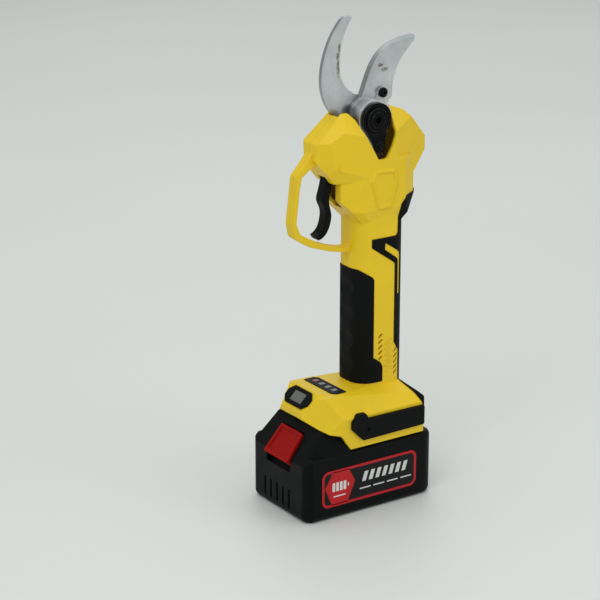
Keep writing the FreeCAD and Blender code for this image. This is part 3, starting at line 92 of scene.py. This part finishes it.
# ---------------------------------------------------------------- material kit
class Graph:
    """A material's node tree with short calls for the nodes used below."""

    def __init__(self, name):
        self.material = bpy.data.materials.new(name)
        self.material.use_nodes = True
        self.tree = self.material.node_tree
        self.shader = self.tree.nodes["Principled BSDF"]
        coords = self.tree.nodes.new("ShaderNodeTexCoord")
        self.place = coords.outputs["Object"]

    def put(self, socket, value):
        if isinstance(value, bpy.types.NodeSocket):
            self.tree.links.new(value, socket)
        else:
            socket.default_value = value

    def add(self, kind, inputs, out=0, **settings):
        made = self.tree.nodes.new("ShaderNode" + kind)
        for key, value in settings.items():
            setattr(made, key, value)
        for key, value in inputs.items():
            self.put(made.inputs[key], value)
        return made.outputs[out]

    def math(self, operation, a, b=0.0):
        return self.add("Math", {0: a, 1: b}, operation=operation)

    def stretched(self, scale, turn=(0, 0, 0)):
        return self.add("Mapping", {"Vector": self.place, "Rotation": turn, "Scale": scale})

    def noise(self, scale, detail=2.0, roughness=0.5, vector=None, distortion=0.0):
        return self.add("TexNoise", {"Vector": vector or self.place, "Scale": scale, "Detail": detail,
                                     "Roughness": roughness, "Distortion": distortion})

    def span(self, value, low, high, to_low=0.0, to_high=1.0):
        return self.add("MapRange", {"Value": value, "From Min": low, "From Max": high,
                                     "To Min": to_low, "To Max": to_high})

    def mix(self, factor, a, b):
        made = self.tree.nodes.new("ShaderNodeMix")
        made.data_type = "RGBA"
        self.put(made.inputs["Factor"], factor)
        self.put(made.inputs["A"], a)
        self.put(made.inputs["B"], b)
        return made.outputs["Result"]

    def shade(self, colour, by):
        """The colour, lighter or darker by a fraction."""
        return tuple(min(c * (1 + by), 1) for c in colour[:3]) + (1,)

    def edges(self, radius, low, high):
        """1 on sharp edges, 0 on flat faces; and the rounded normal."""
        rounded = self.add("Bevel", {"Radius": radius}, samples=6)
        plain = self.add("NewGeometry", {}, out="Normal")
        turn = self.add("VectorMath", {0: rounded, 1: plain}, out="Value", operation="DOT_PRODUCT")
        return self.span(turn, high, low), rounded

    def bump(self, height, distance, normal=None):
        inputs = {"Height": height, "Distance": distance}
        if normal is not None:
            inputs["Normal"] = normal
        return self.add("Bump", inputs)

    def blob(self, x, z, reach_x, reach_z):
        """1 in the middle of an ellipse in the XZ plane, 0 outside it; millimetres."""
        parts = self.tree.nodes.new("ShaderNodeSeparateXYZ")
        self.put(parts.inputs[0], self.place)
        across = self.math("DIVIDE", self.math("SUBTRACT", parts.outputs["X"], x * MM), reach_x * MM)
        along = self.math("DIVIDE", self.math("SUBTRACT", parts.outputs["Z"], z * MM), reach_z * MM)
        square = self.math("ADD", self.math("MULTIPLY", across, across), self.math("MULTIPLY", along, along))
        return self.span(square, 1.0, 0.25)

    def finish(self, **values):
        for key, value in values.items():
            self.put(self.shader.inputs[key.replace("_", " ").title().replace("Ior", "IOR")], value)
        return self.material


def plastic(name, colour, rough, grain, depth, edge_radius, wear, dust=0.0, dust_colour=None):
    """Moulded plastic or rubber: spark-eroded grain, slight colour drift, worn edges and a film of dust."""
    g = Graph(name)
    drift = g.noise(14.0, 3.0, 0.6)
    base = g.mix(g.span(drift, 0.35, 0.65), g.shade(colour, -0.05), g.shade(colour, 0.05))
    edge, rounded = g.edges(edge_radius, 0.80, 0.995)
    scuff = g.span(g.noise(420.0, 4.0, 0.65), 0.42, 0.62)
    worn = g.math("MULTIPLY", edge, scuff)
    lighter = 0.9 if sum(colour[:3]) < 0.3 else 0.25
    base = g.mix(g.math("MULTIPLY", worn, wear), base, g.shade(colour, lighter))
    if dust > 0:
        specks = g.span(g.noise(900.0, 5.0, 0.75), 0.60, 0.74)
        clouds = g.span(g.noise(38.0, 3.0, 0.6), 0.42, 0.66)
        base = g.mix(g.math("MULTIPLY", g.math("MULTIPLY", specks, clouds), dust), base, dust_colour)
    fine = g.noise(grain, 2.0, 0.6)
    patchy = g.noise(55.0, 3.0, 0.6)
    roughness = g.span(patchy, 0.3, 0.7, rough - 0.07, rough + 0.07)
    normal = g.bump(fine, depth, rounded)
    sheen = 0.10 if sum(colour[:3]) < DARK_SUM else 0.40
    return g.finish(base_color=base, roughness=roughness, normal=normal, specular_ior_level=sheen)


def metal(name, colour, rough, line_scale, depth, edge_radius, dark=None, wear=0.5):
    """Ground or turned metal: fine lines along one direction, mottled roughness and bright worn edges."""
    g = Graph(name)
    lines = g.noise(1.0, 3.0, 0.6, g.stretched(line_scale))
    mottled = g.noise(70.0, 4.0, 0.6)
    base = g.mix(g.span(mottled, 0.35, 0.7), g.shade(colour, -0.10), g.shade(colour, 0.06))
    if dark is not None:
        marks = g.span(g.noise(260.0, 5.0, 0.7, distortion=0.6), 0.56, 0.70)
        base = g.mix(g.math("MULTIPLY", marks, 0.6), base, dark)
    edge, rounded = g.edges(edge_radius, 0.75, 0.99)
    base = g.mix(g.math("MULTIPLY", edge, wear), base, (0.72, 0.72, 0.72, 1))
    ground = g.span(lines, 0.3, 0.7, rough - 0.06, rough + 0.06)
    roughness = g.math("ADD", ground, g.span(mottled, 0.3, 0.7, -0.04, 0.05))
    normal = g.bump(lines, depth, rounded)
    return g.finish(base_color=base, roughness=roughness, normal=normal, metallic=1.0)


def blade_steel():
    """Ground blade steel with streaks of dried sap, a painted shadow of the hub near the pivot and a darker,
    scratched band near the edges.
    """
    g = Graph("blade_steel")
    lines = g.noise(1.0, 4.0, 0.65, g.stretched((900, 900, 70), (0, 0.35, 0)))
    mottled = g.noise(45.0, 5.0, 0.6)
    base = g.mix(g.span(mottled, 0.32, 0.7), (0.52, 0.55, 0.56, 1), (0.70, 0.73, 0.74, 1))
    scratches = g.span(g.noise(1.0, 2.0, 0.5, g.stretched((2400, 2400, 60), (0, -0.5, 0))), 0.62, 0.68)
    base = g.mix(g.math("MULTIPLY", scratches, 0.35), base, (0.80, 0.82, 0.82, 1))
    region = g.blob(*SAP_STAINS[0])
    for stain in SAP_STAINS[1:]:
        region = g.math("MAXIMUM", region, g.blob(*stain))
    drops = g.span(g.noise(620.0, 6.0, 0.7, distortion=1.0), 0.38, 0.52)
    film_of_sap = g.span(g.noise(60.0, 3.0, 0.6), 0.54, 0.75, 0.0, 0.12)
    sap = g.math("MAXIMUM", g.math("MULTIPLY", region, drops), film_of_sap)
    # painted shadow of the moving blade's hub on the fixed blade near the pivot, mottled by noise
    painted_shade = g.math("MULTIPLY", g.blob(*HUB_SHADOW), g.span(g.noise(90.0, 3.0, 0.6), 0.30, 0.55, 0.4, 0.9))
    base = g.mix(g.math("MULTIPLY", painted_shade, 0.75), base, (0.10, 0.11, 0.12, 1))
    brown, green = (0.085, 0.045, 0.018, 1), (0.10, 0.105, 0.035, 1)
    tint = g.mix(g.span(g.noise(110.0, 2.0, 0.5), 0.42, 0.58), brown, green)
    base = g.mix(g.math("MULTIPLY", sap, 0.85), base, tint)
    edge, rounded = g.edges(0.0004, 0.7, 0.99)
    base = g.mix(g.math("MULTIPLY", edge, 0.35), base, (0.75, 0.76, 0.76, 1))
    facing = g.tree.nodes.new("ShaderNodeSeparateXYZ")
    g.put(facing.inputs[0], g.add("NewGeometry", {}, out="Normal"))
    ground = g.span(g.math("ABSOLUTE", facing.outputs["Y"]), 0.99, 0.90)
    base = g.mix(g.math("MULTIPLY", ground, 0.55), base, (0.20, 0.21, 0.22, 1))
    roughness = g.math("ADD", g.span(lines, 0.3, 0.7, 0.30, 0.42), g.math("MULTIPLY", sap, 0.3))
    metallic = g.span(sap, 0.0, 1.0, 1.0, 0.25)
    height = g.math("ADD", g.math("MULTIPLY", lines, 0.5), g.math("MULTIPLY", sap, 2.0))
    return g.finish(base_color=base, roughness=roughness, metallic=metallic,
                    normal=g.bump(height, 0.00004, rounded))


def cover_alloy():
    """Ground aluminium of the gear case's cover, with painted shade on its tail, dark orange-brown like the
    shadowed inside of the slot.
    """
    g = Graph("cover_aluminium")
    lines = g.noise(1.0, 3.0, 0.6, g.stretched((1500, 1500, 160)))
    mottled = g.noise(80.0, 4.0, 0.6)
    base = g.mix(g.span(mottled, 0.35, 0.7), g.shade(ALLOY, -0.08), g.shade(ALLOY, 0.06))
    # painted shade: the cover's tail turns dark orange-brown, rougher and unmetallic, for the shadowed inside
    # of the slot
    painted_shade = g.math("MULTIPLY", g.blob(*TAIL_SHADE), g.span(mottled, 0.3, 0.6, 0.85, 1.0))
    base = g.mix(painted_shade, base, srgb(44, 22, 8))
    edge, rounded = g.edges(0.0005, 0.75, 0.99)
    base = g.mix(g.math("MULTIPLY", g.math("MULTIPLY", edge, 0.4), g.span(painted_shade, 0.0, 1.0, 1.0, 0.0)), base,
                 (0.72, 0.72, 0.72, 1))
    roughness = g.math("ADD", g.span(lines, 0.3, 0.7, 0.28, 0.40), g.math("MULTIPLY", painted_shade, 0.2))
    return g.finish(base_color=base, roughness=roughness, normal=g.bump(lines, 0.00004, rounded),
                    metallic=g.span(painted_shade, 0.0, 1.0, 1.0, 0.0))


def film(name, colour):
    """Printed and varnished film."""
    g = Graph(name)
    drift = g.noise(90.0, 4.0, 0.6)
    base = g.mix(g.span(drift, 0.3, 0.7), g.shade(colour, -0.08), g.shade(colour, 0.08))
    marks = g.span(g.noise(1.0, 2.0, 0.5, g.stretched((900, 900, 2600), (0, 0.6, 0))), 0.62, 0.70)
    patchy = g.span(drift, 0.3, 0.7, FILM_ROUGHNESS - 0.05, FILM_ROUGHNESS + 0.06)
    roughness = g.math("ADD", patchy, g.math("MULTIPLY", marks, 0.12))
    return g.finish(base_color=base, roughness=roughness, normal=g.bump(drift, 0.00002),
                    specular_ior_level=0.2)


def glass_screen():
    """The small screen: grey under a clear cover, with a faint grid of dots."""
    g = Graph("screen_grey")
    dots = g.add("TexVoronoi", {"Vector": g.place, "Scale": 2600.0}, out="Distance")
    drift = g.noise(120.0, 2.0, 0.5)
    base = g.mix(g.span(dots, 0.2, 0.5), srgb(86, 93, 88), srgb(98, 106, 99))
    base = g.mix(g.span(drift, 0.4, 0.7, 0, 0.3), base, srgb(120, 120, 104))
    return g.finish(base_color=base, roughness=g.span(drift, 0.3, 0.7, 0.10, 0.2),
                    normal=g.bump(drift, 0.00001))


def lens_plastic():
    """Four small windows in one piece: the one on the left side is red, the others pale."""
    g = Graph("lens_plastic")
    across = g.add("SeparateXYZ", {"Vector": g.place}, out="Y")
    red = g.math("GREATER_THAN", across, 0.008)
    streaks = g.span(g.noise(1.0, 3.0, 0.6, g.stretched((900, 2400, 900))), 0.4, 0.62)
    pale = g.mix(streaks, srgb(52, 52, 55), srgb(150, 146, 146))
    warm = g.mix(streaks, srgb(70, 22, 26), srgb(176, 60, 66))
    base = g.mix(red, pale, warm)
    return g.finish(base_color=base, roughness=g.span(streaks, 0, 1, 0.2, 0.35),
                    normal=g.bump(streaks, 0.00003))


def dressed(material, *names):
    for name in names:
        mesh = CAD[name].data
        mesh.materials.clear()
        mesh.materials.append(material)


def dress_cad():
    yellow = plastic("yellow_plastic", YELLOW, 0.46, 1900.0, 0.00002, 0.0010, 0.35, 0.12, srgb(206, 190, 150))
    rubber = plastic("black_rubber", BLACK_RUBBER, 0.62, 1500.0, 0.00005, 0.0008, 0.45, 0.16,
                     srgb(80, 77, 70))
    black = plastic("black_plastic", BLACK_PLASTIC, 0.50, 1700.0, 0.00003, 0.0008, 0.45, 0.13, BLACK_DUST)
    pack = plastic("battery_plastic", BATTERY_BLACK, 0.46, 1700.0, 0.00003, 0.0012, 0.40, 0.13, BLACK_DUST)
    red = plastic("red_plastic", RED, 0.42, 2100.0, 0.00002, 0.0008, 0.3, 0.2, srgb(150, 110, 90))
    dressed(yellow, "housing_left", "housing_right")
    dressed(rubber, "front_grip_left", "front_grip_right", "back_grip_left", "back_grip_right")
    dressed(black, "bumper_left", "bumper_right", "trigger", "terminal_block", "display_bezel",
            "indicator_strip", "cell_holder", "motor_end_cap")
    dressed(pack, "battery_case_lower", "battery_case_upper")
    dressed(red, "battery_button")
    dressed(blade_steel(), "fixed_blade", "moving_blade")
    turned_steel = metal("turned_steel", TURNED, 0.33, (1800, 90, 1800), 0.00003, 0.0003)
    dressed(turned_steel, "sector_gear", "bevel_pinion", "planet_carrier", "planet_gear_1", "planet_gear_2",
            "planet_gear_3", "ring_gear", "sun_gear", "pinion_bearings", "motor_bearings", "motor_shaft")
    oxide = metal("black_steel", BLACK_OXIDE, 0.40, (900, 900, 900), 0.00003, 0.0004, wear=0.12)
    dressed(oxide, "pivot_bolt", "lock_plate", "lock_plate_screw", "drive_screw", "pivot_nut",
            "gear_case_screws", "fixed_blade_screws")
    zinc = metal("zinc_steel", ZINC, 0.35, (900, 900, 900), 0.00002, 0.0003)
    dressed(zinc, "housing_screws", "battery_case_screws", "trigger_pin", "trigger_spring", "latch_spring")
    alloy = metal("aluminium", ALLOY, 0.36, (1500, 1500, 160), 0.00004, 0.0005, dark=(0.10, 0.09, 0.07, 1))
    dressed(alloy, "gear_case")
    dressed(cover_alloy(), "gear_case_cover")
    dressed(metal("bronze", (0.50, 0.33, 0.15, 1), 0.38, (900, 900, 900), 0.00003, 0.0003), "pivot_bush")
    dressed(metal("motor_metal", (0.10, 0.10, 0.11, 1), 0.4, (1600, 1600, 90), 0.00002, 0.0004), "motor_can")
    stack = metal("lamination", (0.20, 0.18, 0.17, 1), 0.5, (60, 60, 3000), 0.00008, 0.0003)
    dressed(stack, "motor_stator", "motor_rotor", "trigger_magnet")
    board = plastic("circuit_board", srgb(18, 92, 52), 0.42, 1500.0, 0.00003, 0.0003, 0.2)
    dressed(board, "control_board", "battery_board", "trigger_sensor_board")
    dressed(plastic("wire", srgb(120, 26, 22), 0.5, 1500.0, 0.00002, 0.0003, 0.1), "motor_leads")
    plated = metal("contact_metal", (0.66, 0.50, 0.24, 1), 0.3, (90, 900, 900), 0.00002, 0.0003)
    dressed(plated, "tool_terminals", "battery_contacts")
    dressed(glass_screen(), "display_window")
    dressed(lens_plastic(), "indicator_lenses")
    dressed(film("label_black", LABEL_BLACK), "battery_labels")
    dressed(film("cell_sleeve", srgb(28, 86, 150)), "battery_cells")


# ---------------------------------------------------------------- springs
# Node, body it is seated on, joint that presses it, its axis, its fixed seat in mm, share of its length left.
SPRINGS = [("trigger_spring", "housing_body", "trigger_pivot", (1, 0, 0), (-4.35, 0, 249.0), 0.52),
           ("latch_spring", "battery_body", "battery_release", (-0.774, 0, 0.633), (-45.56, 0, 46.37), 0.48)]


def springs():
    """Copies of the spring coils, each attached to the body it is seated on, with the original parts hidden.
    """
    for node, body, joint, axis, seat, left in SPRINGS:
        coil = bpy.data.objects.new(node + "_coil", CAD[node].data.copy())
        coil.matrix_world = CAD[node].matrix_world.copy()
        bpy.context.scene.collection.objects.link(coil)
        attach(coil, body)
        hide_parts(node)
        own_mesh(coil)


# ---------------------------------------------------------------- battery label graphics
LABEL_LOW, LABEL_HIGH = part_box("battery_labels")
PRINT_HEIGHT = 0.06 * MM
PRINT_SUNK = -0.02 * MM
MARKS_LIFT = 0.03 * MM


def new_object(name, mesh, material, body):
    made = bpy.data.objects.new(name, mesh)
    bpy.context.scene.collection.objects.link(made)
    mesh.materials.append(material)
    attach(made, body)
    return made


def rounded_rectangle(x, z, radius, steps=10):
    """Corner points of a rounded rectangle, counter-clockwise."""
    points = []
    corners = ((x[1], z[1], 0), (x[0], z[1], 90), (x[0], z[0], 180), (x[1], z[0], 270))
    for cx, cz, start in corners:
        sx = -1 if cx == x[1] else 1
        sz = -1 if cz == z[1] else 1
        for k in range(steps + 1):
            angle = math.radians(start + 90 * k / steps)
            x_here = cx + sx * radius + radius * math.cos(angle)
            z_here = cz + sz * radius + radius * math.sin(angle)
            points.append((x_here, z_here))
    return points


def mark(outlines, holes, side):
    """Thin raised print on a flank: each outline a closed plate, or the first outline and hole as a ring."""
    mesh = bpy.data.meshes.new("print")
    bm = bmesh.new()
    surface = LABEL_LOW.y if side < 0 else LABEL_HIGH.y

    def at(point, height):
        x = point[0] * MM
        return Vector((x, surface + side * height, point[1] * MM))

    def plate(points):
        low = [bm.verts.new(at(p, PRINT_SUNK)) for p in points]
        high = [bm.verts.new(at(p, PRINT_HEIGHT)) for p in points]
        bm.faces.new(low)
        bm.faces.new(high)
        for k in range(len(points)):
            j = (k + 1) % len(points)
            bm.faces.new((low[k], low[j], high[j], high[k]))

    def band(outer, inner):
        heights = (PRINT_SUNK, PRINT_HEIGHT)
        rings = [[bm.verts.new(at(p, h)) for p in points] for points in (outer, inner) for h in heights]
        order = (rings[0], rings[1], rings[3], rings[2])
        for r in range(4):
            one, two = order[r], order[(r + 1) % 4]
            for k in range(len(outer)):
                j = (k + 1) % len(outer)
                bm.faces.new((one[k], one[j], two[j], two[k]))

    if holes:
        band(outlines[0], holes[0])
    else:
        for points in outlines:
            plate(points)
    bmesh.ops.recalc_face_normals(bm, faces=bm.faces)
    bm.to_mesh(mesh)
    bm.free()
    return mesh


def label_graphics():
    """Red border, a red faceted badge with a plain battery pictogram, and a row of slanted stripes."""
    red = film("label_red", LABEL_RED)
    white = film("label_white", srgb(214, 214, 212))
    x0, x1 = LABEL_LOW.x / MM, LABEL_HIGH.x / MM
    z0, z1 = LABEL_LOW.z / MM, LABEL_HIGH.z / MM
    for side, word in ((-1, "left"), (1, "right")):
        outer = rounded_rectangle((x0 + 0.3, x1 - 0.3), (z0 + 0.3, z1 - 0.3), 5.7)
        inner = rounded_rectangle((x0 + 2.3, x1 - 2.3), (z0 + 2.3, z1 - 2.3), 3.7)
        new_object("label_border_" + word, mark([outer], [inner], side), red, "battery_body")
        badge = [(-36, z0 + 1.6), (-22, z0 + 1.6), (-15.3, 27), (-21.1, z1 - 1.7), (-35, z1 - 1.7),
                 (-42.2, 26)]
        new_object("label_badge_" + word, mark([badge], [], side), red, "battery_body")
        cells = [rounded_rectangle((-35.6 + 3.3 * k, -33.2 + 3.3 * k), (22.0, 29.0), 0.4, 3)
                 for k in range(4)]
        cells.append(rounded_rectangle((-21.9, -20.9), (24.1, 26.9), 0.3, 3))
        cells.append(rounded_rectangle((-34.6, -23.6), (17.6, 18.6), 0.3, 3))
        stripe = [(-9, 24.5), (-5.6, 24.5), (-3.2, 32.0), (-6.6, 32.0)]
        stripes = [[(x + 6 * k, z) for x, z in stripe] for k in range(7)]
        thin = [rounded_rectangle((-11 + 12.4 * k, -1.0 + 12.4 * k), (18.6, 19.6), 0.3, 3) for k in range(4)]
        lifted = mark(cells + stripes + thin, [], side)
        for vertex in lifted.vertices:
            vertex.co.y += side * MARKS_LIFT
        new_object("label_marks_" + word, lifted, white, "battery_body")


# ---------------------------------------------------------------- studio
def floor():
    mesh = bpy.data.meshes.new("floor")
    bm = bmesh.new()
    bmesh.ops.create_circle(bm, cap_ends=True, segments=64, radius=FLOOR_REACH)
    bm.to_mesh(mesh)
    bm.free()
    made = bpy.data.objects.new("floor", mesh)
    bpy.context.scene.collection.objects.link(made)
    g = Graph("floor_paper")
    drift = g.noise(1.3, 2.0, 0.5)
    fine = g.noise(260.0, 2.0, 0.5)
    base = g.mix(g.span(drift, 0.35, 0.65), (0.735, 0.76, 0.74, 1), (0.765, 0.79, 0.77, 1))
    mesh.materials.append(g.finish(base_color=base, roughness=g.span(fine, 0.3, 0.7, 0.5, 0.6),
                                   normal=g.bump(fine, 0.00002)))


def softbox(name, place, target, size, watts):
    lamp = bpy.data.lights.new(name, "AREA")
    lamp.shape = "RECTANGLE"
    lamp.size, lamp.size_y = size
    lamp.energy = watts
    made = bpy.data.objects.new(name, lamp)
    made.location = place
    made.rotation_euler = (Vector(target) - Vector(place)).to_track_quat("-Z", "Y").to_euler()
    bpy.context.scene.collection.objects.link(made)


def studio():
    floor()
    world = bpy.data.worlds.new("studio")
    world.use_nodes = True
    back = world.node_tree.nodes["Background"]
    back.inputs["Color"].default_value = (0.88, 0.91, 0.90, 1)
    back.inputs["Strength"].default_value = 0.56
    bpy.context.scene.world = world
    middle = (0, 0, 0.18)
    softbox("key", (-1.2, -0.9, 1.9), middle, (1.2, 1.2), 14)
    softbox("fill", (1.3, -1.6, 1.2), middle, (1.4, 1.4), 6.5)
    softbox("top", (0.2, 0.3, 2.2), middle, (1.8, 1.8), 8)
    softbox("rear", (1.0, 1.6, 1.5), middle, (1.2, 1.2), 5)


def camera():
    data = bpy.data.cameras.new("camera")
    data.lens = CAMERA_LENS
    data.sensor_width = 36.0
    data.clip_start, data.clip_end = 0.05, 60.0
    made = bpy.data.objects.new("camera", data)
    made.location = CAMERA_PLACE
    made.rotation_euler = (math.radians(CAMERA_TILT), 0, math.radians(CAMERA_TURN))
    bpy.context.scene.collection.objects.link(made)
    bpy.context.scene.camera = made


dress_cad()
springs()
label_graphics()
studio()
camera()
view = bpy.context.scene.view_settings
view.view_transform = "Standard"
view.look = "None"
